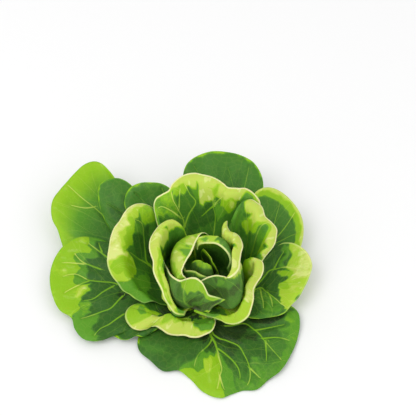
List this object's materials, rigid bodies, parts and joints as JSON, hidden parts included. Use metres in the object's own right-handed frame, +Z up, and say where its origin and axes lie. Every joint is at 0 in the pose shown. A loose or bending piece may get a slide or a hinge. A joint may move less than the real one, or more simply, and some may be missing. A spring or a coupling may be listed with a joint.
{
  "type": "butterhead lettuce",
  "caption": "Head of butterhead lettuce: broad outer leaves spread low, cupped wrapper leaves and a folded, half-open heart on a short cut stem.",
  "frame": {"origin": "centre of the stem's cut face, on the surface the head stands on", "axes": "+Z up along the stem; the front of the head, with its widest low leaf, is towards -Y"},
  "size_m": [0.2536, 0.2531, 0.0965],
  "materials": {
    "outer_leaf": "soft satin leaf, green with a lime margin, thin cream rim and pale lime veins",
    "wrapper_leaf": "soft satin leaf, lime and mid green with a pale margin and cream rim",
    "heart_leaf": "soft satin leaf, lime to mid green with a pale rolled margin and cream rim",
    "stem": "moist pale stem, cream at the cut face"
  },
  "bodies": {
    "root": {"stem": "stem", "outer_back_low": "outer_leaf", "outer_front": "outer_leaf", "outer_left": "outer_leaf", "outer_upper_left": "outer_leaf", "outer_back_left_low": "outer_leaf", "outer_back_left": "outer_leaf", "outer_back": "outer_leaf", "outer_back_right": "outer_leaf", "outer_right": "outer_leaf", "wrapper_front": "wrapper_leaf", "wrapper_left": "wrapper_leaf", "wrapper_back": "wrapper_leaf", "wrapper_right": "wrapper_leaf", "wrapper_front_right": "wrapper_leaf", "inner_left": "heart_leaf", "inner_right": "heart_leaf", "heart_front": "heart_leaf", "heart_left": "heart_leaf", "heart_back": "heart_leaf", "tip_front": "heart_leaf", "tip_left": "heart_leaf", "tip_right": "heart_leaf"}
  },
  "joints": []
}
